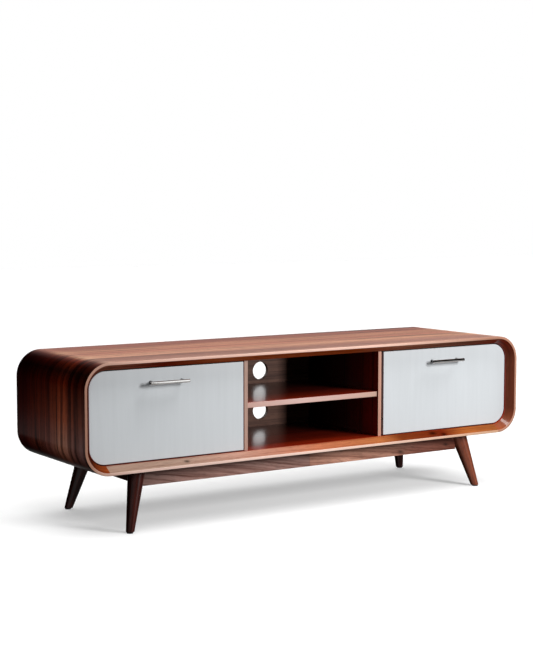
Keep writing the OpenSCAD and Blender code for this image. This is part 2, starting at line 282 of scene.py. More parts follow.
def sums(tree, kind, a, b, c=None):
    """One step of arithmetic of the given kind on values or sockets."""
    inputs = {0: a, 1: b}
    if c is not None:
        inputs[2] = c
    return add(tree, "ShaderNodeMath", inputs, operation=kind).outputs[0]


def ramp(tree, factor, stops):
    """Colour ramp through (place, colour) stops; a plain number means a grey."""
    node = add(tree, "ShaderNodeValToRGB", {0: factor})
    points = node.color_ramp.elements
    while len(points) < len(stops):
        points.new(0.5)
    for point, (place, colour) in zip(points, stops):
        if isinstance(colour, (int, float)):
            colour = (colour,) * 3
        point.position = place
        point.color = (*colour, 1)
    return node.outputs[0]


def spread(tree, value, from_low, from_high, to_low=0.0, to_high=1.0):
    """value taken from one range to another in a straight line, and held at its ends."""
    return add(tree, "ShaderNodeMapRange", {0: value, 1: from_low, 2: from_high,
                                            3: to_low, 4: to_high}).outputs[0]


def noise(tree, vector, scale, detail=2.0, rough=0.5):
    """Soft noise between 0 and 1 at the given vector."""
    return add(tree, "ShaderNodeTexNoise", {"Vector": vector, "Scale": scale,
                                            "Detail": detail, "Roughness": rough}).outputs[0]


def stretched(tree, parts, scales):
    """A vector made of the given sockets, each times its scale."""
    scaled = {i: sums(tree, "MULTIPLY", part, scale)
              for i, (part, scale) in enumerate(zip(parts, scales))}
    return add(tree, "ShaderNodeCombineXYZ", scaled).outputs[0]


def blended(tree, factor, first, second, way="MIX"):
    """Two colours mixed by factor, or multiplied together when way is MULTIPLY."""
    return add(tree, "ShaderNodeMix", {0: factor, 6: first, 7: second}, data_type="RGBA",
               blend_type=way).outputs[2]


def evenly(tones):
    """Ramp stops for tones spaced evenly from 0 to 1."""
    return [(i / (len(tones) - 1), tone) for i, tone in enumerate(tones)]


def grain_space(tree, axis):
    """Three sockets: length along the grain, and the two ways across it. axis names the
    object axis that the grain follows and, if given, the main one across it, or is "grain"
    for the piece's own grain attribute."""
    if axis == "grain":
        source = add(tree, "ShaderNodeAttribute", attribute_name="grain").outputs["Vector"]
        parts = add(tree, "ShaderNodeSeparateXYZ", {0: source}).outputs
        return parts[0], parts[1], parts[2]
    source = add(tree, "ShaderNodeTexCoord").outputs["Object"]
    x, y, z = add(tree, "ShaderNodeSeparateXYZ", {0: source}).outputs
    return {"X": (x, y, z), "XZ": (x, z, y), "Y": (y, x, z), "Z": (z, x, y),
            "ZY": (z, y, x)}[axis]


def knotted(tree, long, wide, knots):
    """Bend the grain round each knot (long, wide, radius) and darken its heart: with
    g = exp(-(u^2 + v^2)) for u, v measured in radii, twice as long along the grain, the
    width becomes wide - g * (wide - knot's) and the shade is multiplied by 1 - 0.8 * g^3."""
    shade = 1.0
    one_over_e = 0.3679
    for k_long, k_wide, radius in knots:
        off = sums(tree, "SUBTRACT", wide, k_wide)
        u = sums(tree, "DIVIDE", sums(tree, "SUBTRACT", long, k_long), 2 * radius)
        v = sums(tree, "DIVIDE", off, radius)
        square = sums(tree, "MULTIPLY_ADD", u, u, sums(tree, "MULTIPLY", v, v))
        near = sums(tree, "POWER", one_over_e, square)
        wide = sums(tree, "SUBTRACT", wide, sums(tree, "MULTIPLY", near, off))
        heart = sums(tree, "MULTIPLY_ADD", sums(tree, "POWER", near, 3.0), -0.8, 1.0)
        shade = sums(tree, "MULTIPLY", shade, heart)
    return wide, shade


# pores to the metre, and how much longer than wide they are
PORE_PITCH, PORE_STRETCH = 900.0, 0.045
# the part of the streaks' noise that runs from dark to light, and the shades of the darkest
# and the middle streaks
STREAK_RANGE = (0.28, 0.72)
DARK_STREAK = (0.26, 0.13, 0.09)
MIDDLE_STREAK = (0.84, 0.79, 0.76)
# the power that deepens the streaks on the case's two ends, as painted shade
END_SHADE_POWER = 1.9


def walnut(name, axis, tones, tone_span=(-0.215, 0.215), contrast=1.0, coarse=42.0, fine=170.0,
           bend=0.012, rough=0.3, specular=0.5, coat=0.3, coat_rough=0.12, painted_light=None,
           painted_light_span=(-0.75, 0.75), relief=0.25, slant=0.0, knots=(), shaded_end_tones=None,
           shaded_end_span=None):
    """Lacquered walnut. tones is the colour across the board, at places of tone_span; broad
    and fine streaks along the grain and small dark pores shade it, and a ramp of painted
    light and shade multiplies it along the grain, at places of the span given with that ramp.
    coarse and fine are streaks to the metre. Over the span given with the end tones, along
    the grain, the tones turn to the far darker end tones and the streaks deepen to a higher
    power: painted shade of the case's ends."""
    mat, tree, skin = new_material(name)
    long, wide, deep = grain_space(tree, axis)
    if slant:
        wide = sums(tree, "MULTIPLY_ADD", long, slant, wide)
    knot_shade = None
    if knots:
        wide, knot_shade = knotted(tree, long, wide, knots)
    waver = noise(tree, stretched(tree, (long, wide, deep), (1.7, 8.0, 8.0)), 1.0, 3.0)
    across = sums(tree, "MULTIPLY_ADD", sums(tree, "SUBTRACT", waver, 0.5), 2 * bend, wide)

    def streaks(pitch, stretch, detail):
        """Noise drawn out along the grain: pitch to the metre across, stretch * pitch along."""
        place = stretched(tree, (long, across, deep), (stretch * pitch, pitch, pitch))
        return noise(tree, place, 1.0, detail, 0.55)

    broad, thin = streaks(coarse, 0.016, 3.0), streaks(fine, 0.02, 4.0)
    pore = streaks(PORE_PITCH, PORE_STRETCH, 2.0)
    tone = sums(tree, "ADD", sums(tree, "MULTIPLY", spread(tree, broad, *STREAK_RANGE), 0.55),
                sums(tree, "MULTIPLY", spread(tree, thin, *STREAK_RANGE), 0.45))
    if isinstance(tones[0], float):
        colour = (*tones, 1)
    else:
        colour = ramp(tree, spread(tree, across, *tone_span), evenly(tones))
    low = tuple(1 - contrast * (1 - c) for c in DARK_STREAK)
    middle = tuple(1 - contrast * (1 - c) for c in MIDDLE_STREAK)
    shade = ramp(tree, tone, [(0.15, low), (0.5, middle), (0.8, 1.0)])
    fleck = ramp(tree, pore, [(0.32, 1 - 0.5 * contrast), (0.46, 1.0)])
    # painted shade on the case's ends: far darker tones and deeper streaks
    if shaded_end_tones:
        in_end_shade = spread(tree, sums(tree, "ABSOLUTE", long, 0.0), *shaded_end_span)
        shaded_end_colour = ramp(tree, spread(tree, across, *tone_span), evenly(shaded_end_tones))
        colour = blended(tree, in_end_shade, colour, shaded_end_colour)
        deep_shade = add(tree, "ShaderNodeGamma", {0: shade, 1: END_SHADE_POWER}).outputs[0]
        shade = blended(tree, in_end_shade, shade, deep_shade)
    for layer in (shade, fleck, knot_shade):
        if layer is not None:
            colour = blended(tree, 1.0, colour, layer, "MULTIPLY")
    # painted light and shade along the grain, multiplied into the colour
    if painted_light:
        along = sums(tree, "ABSOLUTE", long, 0.0) if painted_light_span[0] >= 0 else long
        painted_wash = ramp(tree, spread(tree, along, *painted_light_span), painted_light)
        colour = blended(tree, 1.0, colour, painted_wash, "MULTIPLY")
    tree.links.new(colour, skin.inputs["Base Color"])
    gloss = sums(tree, "MULTIPLY_ADD", thin, -0.08,
                 sums(tree, "MULTIPLY_ADD", pore, -0.12, rough + 0.1))
    tree.links.new(gloss, skin.inputs["Roughness"])
    grooves = add(tree, "ShaderNodeBump", {"Strength": relief, "Distance": 0.00008,
                                           "Height": pore}).outputs[0]
    tree.links.new(grooves, skin.inputs["Normal"])
    skin.inputs["Specular IOR Level"].default_value = specular
    skin.inputs["Coat Weight"].default_value = coat
    skin.inputs["Coat Roughness"].default_value = coat_rough
    return mat


def satin_paint(name, colour):
    """Sprayed satin paint: fine upright brushing left by sanding, and a soft mottle."""
    mat, tree, skin = new_material(name)
    place = add(tree, "ShaderNodeSeparateXYZ",
                {0: add(tree, "ShaderNodeTexCoord").outputs["Object"]}).outputs
    brushed = noise(tree, stretched(tree, place, (620.0, 620.0, 9.0)), 1.0, 3.0, 0.6)
    mottle = noise(tree, stretched(tree, place, (70.0, 70.0, 4.0)), 1.0, 3.0)
    grey = sums(tree, "MULTIPLY_ADD", sums(tree, "SUBTRACT", brushed, 0.5), 0.07,
                sums(tree, "MULTIPLY_ADD", sums(tree, "SUBTRACT", mottle, 0.5), 0.09, 1.0))
    tone = blended(tree, 1.0, (*colour, 1), grey, "MULTIPLY")
    tree.links.new(tone, skin.inputs["Base Color"])
    tree.links.new(sums(tree, "MULTIPLY_ADD", brushed, 0.12, 0.36), skin.inputs["Roughness"])
    peel = add(tree, "ShaderNodeBump", {"Strength": 0.12, "Distance": 0.00006,
                                        "Height": brushed}).outputs[0]
    tree.links.new(peel, skin.inputs["Normal"])
    skin.inputs["Coat Weight"].default_value = 0.15
    skin.inputs["Coat Roughness"].default_value = 0.25
    return mat


def brushed_metal(name, colour, rough, axis):
    """Metal with fine turning or brushing lines round or along its axis."""
    mat, tree, skin = new_material(name)
    lines = stretched(tree, grain_space(tree, axis), (1400.0, 60.0, 60.0))
    brushed = noise(tree, lines, 1.0, 2.0, 0.6)
    smudge = noise(tree, add(tree, "ShaderNodeTexCoord").outputs["Object"], 55.0, 3.0)
    tone = ramp(tree, smudge, [(0.3, tuple(0.88 * c for c in colour)), (0.7, colour)])
    tree.links.new(tone, skin.inputs["Base Color"])
    tree.links.new(sums(tree, "MULTIPLY_ADD", brushed, 0.1, sums(
        tree, "MULTIPLY_ADD", smudge, 0.08, rough - 0.09)), skin.inputs["Roughness"])
    relief = add(tree, "ShaderNodeBump", {"Strength": 0.08, "Distance": 0.00003,
                                          "Height": brushed}).outputs[0]
    tree.links.new(relief, skin.inputs["Normal"])
    skin.inputs["Metallic"].default_value = 1.0
    return mat


def moulded_nylon(name, colour):
    """Moulded nylon: a fine spark-eroded texture and a slight scuffed mottle."""
    mat, tree, skin = new_material(name)
    place = add(tree, "ShaderNodeTexCoord").outputs["Object"]
    fine = noise(tree, place, 1800.0, 2.0)
    scuff = noise(tree, place, 130.0, 4.0)
    tone = ramp(tree, scuff, [(0.35, tuple(0.8 * c for c in colour)),
                              (0.7, tuple(1.25 * c for c in colour))])
    tree.links.new(tone, skin.inputs["Base Color"])
    tree.links.new(sums(tree, "MULTIPLY_ADD", scuff, 0.2, 0.4), skin.inputs["Roughness"])
    relief = add(tree, "ShaderNodeBump", {"Strength": 0.2, "Distance": 0.00005,
                                          "Height": fine}).outputs[0]
    tree.links.new(relief, skin.inputs["Normal"])
    return mat


# the wrap's streaks from the front edge to the back, on the top and on the two ends, where the
# tones are far darker as painted shade
WRAP_TONES = [(0.7, 0.35, 0.25), (0.5, 0.2, 0.14), (1.0, 0.5, 0.3), (0.7, 0.25, 0.15),
              (0.8, 0.35, 0.2), (0.5, 0.14, 0.08), (0.4, 0.12, 0.08)]
SHADED_END_TONES = [(0.2, 0.08, 0.06), (0.25, 0.08, 0.05), (0.5, 0.16, 0.08), (0.2, 0.05, 0.03),
             (0.2, 0.04, 0.02), (0.08, 0.008, 0.004), (0.05, 0.005, 0.003)]
# washes over the veneer: light and shade as the wrap turns past each bend
WARM_GLOW = (1.2, 1.4, 1.4)
COOL_GLOW = (1.5, 2.2, 3.0)
DUSK = (0.45, 0.3, 0.23)
COOL_DUSK = (0.35, 0.35, 0.5)
RED_SHADE = (0.6, 0.2, 0.1)
DEEP_SHADE = (0.15, 0.1, 0.1)
# painted light and shade down each end, measured along the wrap: a painted glow at the start of the
# upper bend, painted shade through that bend, painted light from the floor lower down, and a pale
# painted reflection of the floor at the lower bend
END_SPAN = (0.640, 1.040)
END_PAINTED_LIGHT = [(0.0, 1.0), (0.12, WARM_GLOW), (0.16, RED_SHADE), (0.27, DEEP_SHADE),
            (0.35, RED_SHADE), (0.6, (1.3, 1.0, 0.8)), (0.77, COOL_GLOW), (0.9, DUSK)]
# painted light and shade round the front edge, from the right end's foot over the top and the
# left end to the bottom's right end: painted shade on both ends and at the bottom's right end
RIM_SPAN = (-1.06, 2.42)
RIM_PAINTED_LIGHT = [(0.0, DUSK), (0.12, DUSK), (0.25, (0.95, 0.85, 0.8)), (0.47, (0.9, 0.75, 0.7)),
            (0.53, DUSK), (0.59, DUSK), (0.63, (0.95, 0.9, 0.9)), (0.8, 1.0),
            (1.0, (0.65, 0.5, 0.35))]
# painted light and shade along the slope behind the front rim, at places of RIM_SPAN: painted shade
# down the right end, painted light and a pale painted sheen along the top, deep painted shade round
# the left end
SLOPE_PAINTED_LIGHT = [(0.0, 0.7), (0.03, COOL_DUSK), (0.08, COOL_DUSK), (0.1, RED_SHADE),
              (0.15, (0.6, 1.0, 2.0)),
              (0.22, (1.0, 1.6, 3.0)), (0.27, (1.0, 0.8, 0.5)), (0.4, 1.2),
              (0.45, RED_SHADE), (0.49, (0.9, 1.3, 2.5)), (0.53, DEEP_SHADE),
              (0.59, DEEP_SHADE), (0.61, (0.9, 0.8, 0.6))]


def fading_into_shade(front, fall, steps=5):
    """Tones that fade from the front to the back as painted shade: each is the one before it times
    fall.
    """
    return [tuple(c * fall ** step for c in front) for step in range(steps)]


wrap_walnut = walnut("wrap_walnut", "grain", WRAP_TONES, contrast=1.3, bend=0.008, painted_light=END_PAINTED_LIGHT,
                     painted_light_span=END_SPAN, coat=0.25, coat_rough=0.2, shaded_end_tones=SHADED_END_TONES,
                     shaded_end_span=(0.672, 0.715))
rim_edge = walnut("rim_edge", "grain", (0.84, 0.62, 0.53), fine=300.0, contrast=0.22,
                  rough=0.36, coat=0.1, painted_light=RIM_PAINTED_LIGHT, painted_light_span=RIM_SPAN)
slope_walnut = walnut("slope_walnut", "grain", (0.34, 0.080, 0.026), contrast=0.9, rough=0.5,
                      specular=0.0, coat=0.0, painted_light=SLOPE_PAINTED_LIGHT, painted_light_span=RIM_SPAN)
right_slope_walnut = walnut("right_slope_walnut", "grain", (0.34, 0.080, 0.026), contrast=0.9,
                            rough=0.4, specular=0.1, coat=0.2, coat_rough=0.08, painted_light=SLOPE_PAINTED_LIGHT,
                            painted_light_span=RIM_SPAN)
# painted shade: the bay's floor, shelf and sides darken from the front to the back, deeper into the
# recess
BAY_DEPTH = (-0.183, 0.177)
SHADED_FLOOR_TONES = fading_into_shade((0.45, 0.03, 0.006), 0.6)
SHADED_SHELF_TONES = fading_into_shade((0.65, 0.05, 0.012), 0.38)
SHADED_BAY_SIDE_TONES = fading_into_shade((0.24, 0.01, 0.004), 0.45)
inner_walnut = walnut("inner_walnut", "grain", SHADED_FLOOR_TONES, tone_span=BAY_DEPTH, rough=0.3,
                      coat=0.6, coat_rough=0.16, relief=0.08)
# the bottom slope's colour along its width: the wood's own orange-brown together with painted light
# and shade, a pale painted sheen towards the left end and painted shade deepest right of the middle
low_slope_walnut = walnut(
    "low_slope_walnut", "X", (0.80, 0.80, 0.80), contrast=0.8, fine=260.0, bend=0.02, rough=0.40,
    specular=0.0, coat=0.0,
    knots=[(-0.438, -0.203, 0.008), (0.425, -0.200, 0.012), (0.462, -0.208, 0.010)],
    painted_light=[(0.0, DUSK), (0.2, DUSK), (0.32, (0.6, 0.33, 0.25)), (0.5, RED_SHADE),
          (0.65, (0.5, 0.16, 0.05)),
          (0.7, (0.2, 0.04, 0.01)), (0.81, (0.18, 0.02, 0.005)), (0.87, (0.45, 0.13, 0.03)),
          (1.0, (0.27, 0.09, 0.03))])
shelf_walnut = walnut("shelf_walnut", "X", SHADED_SHELF_TONES, tone_span=BAY_DEPTH, rough=0.3,
                      coat=0.6, coat_rough=0.16, relief=0.08)
# the shelf's front edge darker towards both ends beside the dividers: painted shade
board_edge = walnut("board_edge", "XZ", (0.68, 0.46, 0.41), contrast=0.25, fine=260.0, rough=0.4,
                    coat=0.1, painted_light=[(0.0, (0.85, 0.75, 0.7)), (0.4, 1.0), (1.0, (0.8, 0.75, 0.65))],
                    painted_light_span=(-0.23, 0.23))
# the dividers' front edges: the left one a darker copy as painted shade, the right one a lighter,
# warmer copy as painted light
shaded_left_upright_edge = walnut("shaded_left_upright_edge", "Z", (0.45, 0.275, 0.215), contrast=0.35,
                           fine=260.0, rough=0.4, coat=0.1)
lit_right_upright_edge = walnut("lit_right_upright_edge", "Z", (0.585, 0.31, 0.225), contrast=0.35,
                            fine=260.0, rough=0.4, coat=0.1)
divider_walnut = walnut("divider_walnut", "ZY", SHADED_BAY_SIDE_TONES, tone_span=BAY_DEPTH, rough=0.4,
                        coat=0.0, specular=0.1)
# painted shade: the panel is darker on the side that faces into the bay than on its back
SHADED_PANEL_TONES = [(0.075, 0.034, 0.022), (0.27, 0.14, 0.09)]
PANEL_DEPTH = (0.178, 0.188)
panel_walnut = walnut("panel_walnut", "X", SHADED_PANEL_TONES, tone_span=PANEL_DEPTH, contrast=0.9,
                      coarse=60.0, fine=220.0, rough=0.5, specular=0.1, coat=0.0, bend=0.0)
# the two front rail halves differ in tone; along each runs painted light and shade, the left half
# darkest at its left end
rail_left_walnut = walnut(
    "rail_left_walnut", "XZ", (0.36, 0.21, 0.18), rough=0.34, coat=0.1, slant=0.15, bend=0.02,
    contrast=1.1, coarse=60.0,
    painted_light=[(0.0, 0.65), (0.42, 1.5), (0.7, 1.4), (1.0, 1.15)], painted_light_span=(-0.60, 0.0))
# the right half: painted light near the middle, fading to painted shade at its right end
rail_right_walnut = walnut(
    "rail_right_walnut", "XZ", (0.54, 0.28, 0.20), rough=0.34, coat=0.1, slant=0.10, bend=0.02,
    contrast=1.1, coarse=60.0, knots=[(0.335, 0.161, 0.009), (0.512, 0.186, 0.007)],
    painted_light=[(0.0, 1.0), (0.3, 1.35), (0.6, 0.95), (0.75, (0.65, 0.5, 0.5)),
          (1.0, (0.35, 0.2, 0.17))], painted_light_span=(-0.05, 0.55))
rail_walnut = walnut("rail_walnut", "X", (0.20, 0.09, 0.065), rough=0.36, coat=0.2)
side_rail_walnut = walnut("side_rail_walnut", "Y", (0.16, 0.06, 0.04), rough=0.36, coat=0.2)
# two copies of the leg veneer: a near-black one as painted shade, and a lighter one as painted
# light
shaded_leg_walnut = walnut("shaded_leg_walnut", "grain", (0.075, 0.012, 0.007), coarse=90.0,
                         fine=260.0, bend=0.003, rough=0.24, coat=0.8, coat_rough=0.07)
lit_leg_walnut = walnut("lit_leg_walnut", "grain", (0.29, 0.082, 0.042), contrast=1.15,
                          coarse=60.0, fine=260.0, bend=0.003, rough=0.28, coat=0.4,
                          coat_rough=0.12)
door_paint = satin_paint("door_paint", (0.575, 0.602, 0.622))
door_edge_paint = satin_paint("door_edge_paint", (0.46, 0.49, 0.505))
handle_steel = brushed_metal("handle_steel", (0.88, 0.87, 0.85), 0.10, "X")
# near-black steel on the posts and on the bar's flat ends: painted shade
shaded_post_steel = brushed_metal("shaded_post_steel", (0.045, 0.045, 0.048), 0.35, "Y")
shaded_cap_steel = brushed_metal("shaded_cap_steel", (0.022, 0.022, 0.025), 0.35, "X")
zinc_steel = brushed_metal("zinc_steel", (0.58, 0.58, 0.56), 0.36, "Y")
black_steel = brushed_metal("black_steel", (0.04, 0.04, 0.042), 0.4, "X")
black_nylon = moulded_nylon("black_nylon", (0.028, 0.028, 0.03))
beech = walnut("beech", "X", (0.66, 0.47, 0.29), contrast=0.3, rough=0.55, coat=0.0)
beech_upright = walnut("beech_upright", "Z", (0.66, 0.47, 0.29), contrast=0.3, rough=0.55,
                       coat=0.0)

# ---- case ----

case_skins = [wrap_walnut, rim_edge, slope_walnut, inner_walnut]
right_skins = [wrap_walnut, rim_edge, right_slope_walnut, inner_walnut]
low_skins = [wrap_walnut, rim_edge, low_slope_walnut, inner_walnut]


def keep(piece, body, node):
    """Let a piece ride on its body and stand in for its CAD node, which is hidden."""
    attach(piece, body)
    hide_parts(node)


top_out, top_in = straight_path(bend_x, -bend_x, case_high, -1.0)
top_along = -top_out[:, 0]
top = case_wall("top_board_skin", top_along, top_out, top_in, case_skins)
keep(top, "case", "top_board")
left_out, left_in = end_path(-1)
left_along = bend_x + path_length(left_out)
left_end = case_wall("left_end_skin", left_along, left_out, left_in, case_skins)
keep(left_end, "case", "left_end_shell")
low_out, low_in = straight_path(-bend_x, bend_x, case_low, 1.0)
low_along = left_along[-1] + path_length(low_out)
low_board = case_wall("bottom_board_skin", low_along, low_out, low_in, low_skins)
keep(low_board, "case", "bottom_board")
right_out, right_in = end_path(1)
right_along = -bend_x - path_length(right_out)
right_end = case_wall("right_end_skin", right_along, right_out, right_in, right_skins)
keep(right_end, "case", "right_end_shell")

# ---- bay ----

BOARD_EASE, RAIL_EASE = 0.9 * MM, 0.8 * MM

for node in ("left_divider", "right_divider"):
    low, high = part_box(node)
    edge = shaded_left_upright_edge if node == "left_divider" else lit_right_upright_edge
    piece = board(node + "_skin", low, high, BOARD_EASE, [divider_walnut, edge], 2, 1)
    keep(piece, "case", node)
low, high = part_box("shelf")
shelf = board("shelf_skin", low, high, BOARD_EASE, [shelf_walnut, board_edge], 0, 1)
keep(shelf, "case", "shelf")

# ---- rails ----

for node, skin, axis in (("front_rail_left_half", rail_left_walnut, 0),
                         ("front_rail_right_half", rail_right_walnut, 0),
                         ("rear_rail", rail_walnut, 0),
                         ("left_side_rail", side_rail_walnut, 1),
                         ("right_side_rail", side_rail_walnut, 1)):
    low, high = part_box(node)
    piece = board(node + "_skin", low, high, RAIL_EASE, [skin], axis)
    keep(piece, "case", node)

# ---- legs ----

# where a leg's axis meets the floor and the case, and its radius at each end
foot_x, foot_y = 0.607, 0.1887
head_x, head_y = 0.5654, 0.1521
leg_r_head, leg_r_foot = 24.4 * MM, 11.2 * MM


def leg_rings(side_x, side_y, steps=36, sides=48):
    """Tapered round leg cut level: on the ray at angle a about the leaning axis, the point
    at height z is foot + t*way + (r_foot + k*t)*e(a), with t solved from its height; the
    lowest 2 mm are drawn in along a quarter circle."""
    foot = np.array([side_x * foot_x, side_y * foot_y, 0.0])
    head = np.array([side_x * head_x, side_y * head_y, case_low])
    way = head - foot
    length = np.linalg.norm(way)
    way = way / length
    taper = (leg_r_head - leg_r_foot) / length
    e1 = np.cross(way, [0.0, 1.0, 0.0])
    e1 /= np.linalg.norm(e1)
    e2 = np.cross(way, e1)
    a = np.linspace(0, 2 * math.pi, sides, endpoint=False)
    e = np.cos(a)[:, None] * e1 + np.sin(a)[:, None] * e2
    ease = 2.0 * MM
    low = leg_foot_z
    q = np.linspace(0, math.pi / 2, 6)
    z = np.concatenate([low + ease * (1 - np.cos(q)),
                        np.linspace(low + ease, case_low, steps)[1:]])
    draw = np.concatenate([ease * (1 - np.sin(q)), np.zeros(steps - 1)])
    r0 = (leg_r_foot - draw)[:, None]
    t = (z[:, None] - r0 * e[None, :, 2]) / (way[2] + taper * e[None, :, 2])
    r = r0 + taper * t
    rings = foot + t[..., None] * way + r[..., None] * e[None]
    # each leg starts at another place of the figure
    start = 0.37 * side_x + 0.11 * side_y
    grain = np.stack([t + start, r * np.cos(a), r * np.sin(a)], -1)
    return rings, grain.reshape(-1, 3)


for node, side_x, side_y in (("front_left_leg", -1, -1), ("front_right_leg", 1, -1),
                             ("rear_left_leg", -1, 1), ("rear_right_leg", 1, 1)):
    rings, grain = leg_rings(side_x, side_y)
    # the front right leg, nearest the key lamp, takes the lit copy; the other three take the
    # painted-shade copy
    skin = lit_leg_walnut if side_x > 0 and side_y < 0 else shaded_leg_walnut
    keep(turned(node + "_skin", rings, [skin], grain), "case", node)

# ---- doors and handles ----


def door_outline(side, inset, steps=20):
    """Door outline in (x, z), moved in by inset: two large rounded corners on the outer
    side and two nearly square ones beside the bay."""
    inner_x, outer_x = -door_high[0], -door_low[0]
    low, high = door_low[2], door_high[2]
    big = corner_r - board_t - door_gap
    corners = [(outer_x - inset, low + inset), (outer_x - inset, high - inset),
               (inner_x + inset, high - inset), (inner_x + inset, low + inset)]
    radii = [big - inset, big - inset, 1.2 * MM - 0.5 * inset, 1.2 * MM - 0.5 * inset]
    return eased(corners, radii, steps) * [side, 1]


def door_piece(name, side):
    """Door board: its outline carried from front to back, with both faces' edges eased by
    insetting the outline along a quarter circle."""
    front, back = door_low[1], door_high[1]
    ease = 1.0 * MM
    q = np.linspace(0, math.pi / 2, 5)
    inset = np.concatenate([ease * (1 - np.sin(q)), ease * (1 - np.sin(q[::-1]))])
    y = np.concatenate([front + ease * (1 - np.cos(q)), back - ease * (1 - np.cos(q[::-1]))])
    rings = []
    for i, yy in zip(inset, y):
        flat = door_outline(side, i)
        rings.append(np.stack([flat[:, 0], np.full(len(flat), yy), flat[:, 1]], 1))
    rings = np.array(rings)
    n, m = rings.shape[:2]
    faces = ring_faces(n, m, outline_area(rings[0][:, [0, 2]]) > 0)
    slots = np.append(np.repeat(np.where(y[:-1] < front + ease, 0, 1), m), [0, 1])
    return make_piece(name, rings.reshape(-1, 3), faces, [door_paint, door_edge_paint], slots)


BAR_EASE = 1.2 * MM


def handle_bar(hand):
    """Round bar with eased ends; its two flat end faces take near-black steel, painted shade."""
    low, high = (np.array(c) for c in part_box(hand + "_handle_bar"))
    middle, radius, length = (low + high) / 2, (high[2] - low[2]) / 2, high[0] - low[0]
    ends = [(0, radius - BAR_EASE), (0.35 * BAR_EASE, radius - 0.35 * BAR_EASE),
            (BAR_EASE, radius)]
    stations = ends + [(length - t, r) for t, r in reversed(ends)]
    return round_bar(hand + "_handle_bar_skin", (low[0], middle[1], middle[2]),
                     (high[0], middle[1], middle[2]), stations, [handle_steel, shaded_cap_steel])


def handle_post(hand, spot):
    """Round post from the bar to the door, with a slightly wider foot."""
    low, high = (np.array(c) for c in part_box(hand + "_handle_posts"))
    bar_low, bar_high = (np.array(c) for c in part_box(hand + "_handle_bar"))
    start_y, z = (bar_low[1] + bar_high[1]) / 2, (low[2] + high[2]) / 2
    radius = (high[2] - low[2]) / 2
    x = low[0] + radius if spot == "a" else high[0] - radius
    neck, reach = radius - 0.6 * MM, high[1] - start_y
    stations = [(0, neck), (1.5 * MM, neck), (reach - 2.4 * MM, neck),
                (reach - 1.6 * MM, radius - 0.3 * MM), (reach - 1.2 * MM, radius), (reach, radius)]
    return round_bar(f"{hand}_handle_post_{spot}", (x, start_y, z), (x, high[1], z), stations,
                     [shaded_post_steel], 32)


bars, posts = {}, []
for side, body in ((-1, "left_flap"), (1, "right_flap")):
    hand = body.split("_")[0]
    keep(door_piece(hand + "_door_skin", side), body, hand + "_door")
    bars[hand] = handle_bar(hand)
    keep(bars[hand], body, hand + "_handle_bar")
    for spot in ("a", "b"):
        post = handle_post(hand, spot)
        posts.append(post)
        keep(post, body, hand + "_handle_posts")

# ---- finishes of the CAD nodes that stay ----

FINISHES = {
    "back_panel": panel_walnut, "rail_splice_block": beech, "corner_blocks": beech_upright,
    "left_shell_dowels": beech, "right_shell_dowels": beech, "divider_dowels": beech_upright,
    "foot_glides": black_nylon, "stop_pegs": black_nylon, "magnet_catches": black_nylon,
    "left_door_bushes": black_nylon, "right_door_bushes": black_nylon,
    "left_pivot_pins": black_steel, "right_pivot_pins": black_steel,
}
for name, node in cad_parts.items():
    skin = FINISHES.get(name, zinc_steel)
    if not node.material_slots:
        node.data.materials.append(skin)
    for slot in node.material_slots:
        slot.material = skin

# ---- camera ----

LENS_MM = 80.15
EYE = (-2.44504, -3.65145, 0.88455)
TILT_DOWN, TURN_RIGHT = 5.109, 33.298

camera_data = bpy.data.cameras.new("camera")
camera = bpy.data.objects.new("camera", camera_data)
bpy.context.scene.collection.objects.link(camera)
bpy.context.scene.camera = camera
camera_data.sensor_fit = "AUTO"
camera_data.sensor_width = 36.0
camera_data.lens = LENS_MM
camera_data.clip_end = 100.0
camera.location = EYE
camera.rotation_euler = (math.radians(90 - TILT_DOWN), 0.0, math.radians(-TURN_RIGHT))

# ---- floor and light ----

half_floor = 14.0
floor_mesh = bpy.data.meshes.new("floor")
floor_mesh.from_pydata([(-half_floor, -half_floor, 0), (half_floor, -half_floor, 0),
                        (half_floor, half_floor, 0), (-half_floor, half_floor, 0)], [],
                       [(0, 1, 2, 3)])
floor = bpy.data.objects.new("floor", floor_mesh)
bpy.context.scene.collection.objects.link(floor)
floor_mat, tree, skin = new_material("white_floor")
skin.inputs["Base Color"].default_value = (0.62, 0.62, 0.62, 1)
skin.inputs["Roughness"].default_value = 1.0
skin.inputs["Specular IOR Level"].default_value = 0.0
skin.inputs["Emission Color"].default_value = (1, 1, 1, 1)
skin.inputs["Emission Strength"].default_value = 0.40
floor_mesh.materials.append(floor_mat)
floor.visible_diffuse = False
floor.visible_glossy = False


def lit_set(name, link_state, *pieces):
    """A collection of pieces: a light linked to it lights only them when link_state is
    INCLUDE, and everything but them when it is EXCLUDE."""
    group = bpy.data.collections.new(name)
    for piece in pieces:
        group.objects.link(piece)
    for entry in group.collection_objects:
        entry.light_linking.link_state = link_state
    return group


floor_only = lit_set("floor_only", "INCLUDE", floor)
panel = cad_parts["back_panel"]
all_but_floor = lit_set("all_but_floor", "EXCLUDE", floor, panel)
all_but_handles = lit_set("all_but_handles", "EXCLUDE", panel, *bars.values(), *posts)
panel_only = lit_set("panel_only", "INCLUDE", panel)
left_end_only = lit_set("left_end_only", "INCLUDE", left_end)
right_end_only = lit_set("right_end_only", "INCLUDE", right_end)
left_bar_only = lit_set("left_bar_only", "INCLUDE", bars["left"])
bars_only = lit_set("bars_only", "INCLUDE", *bars.values())
bay_only = lit_set("bay_only", "INCLUDE", shelf, low_board)


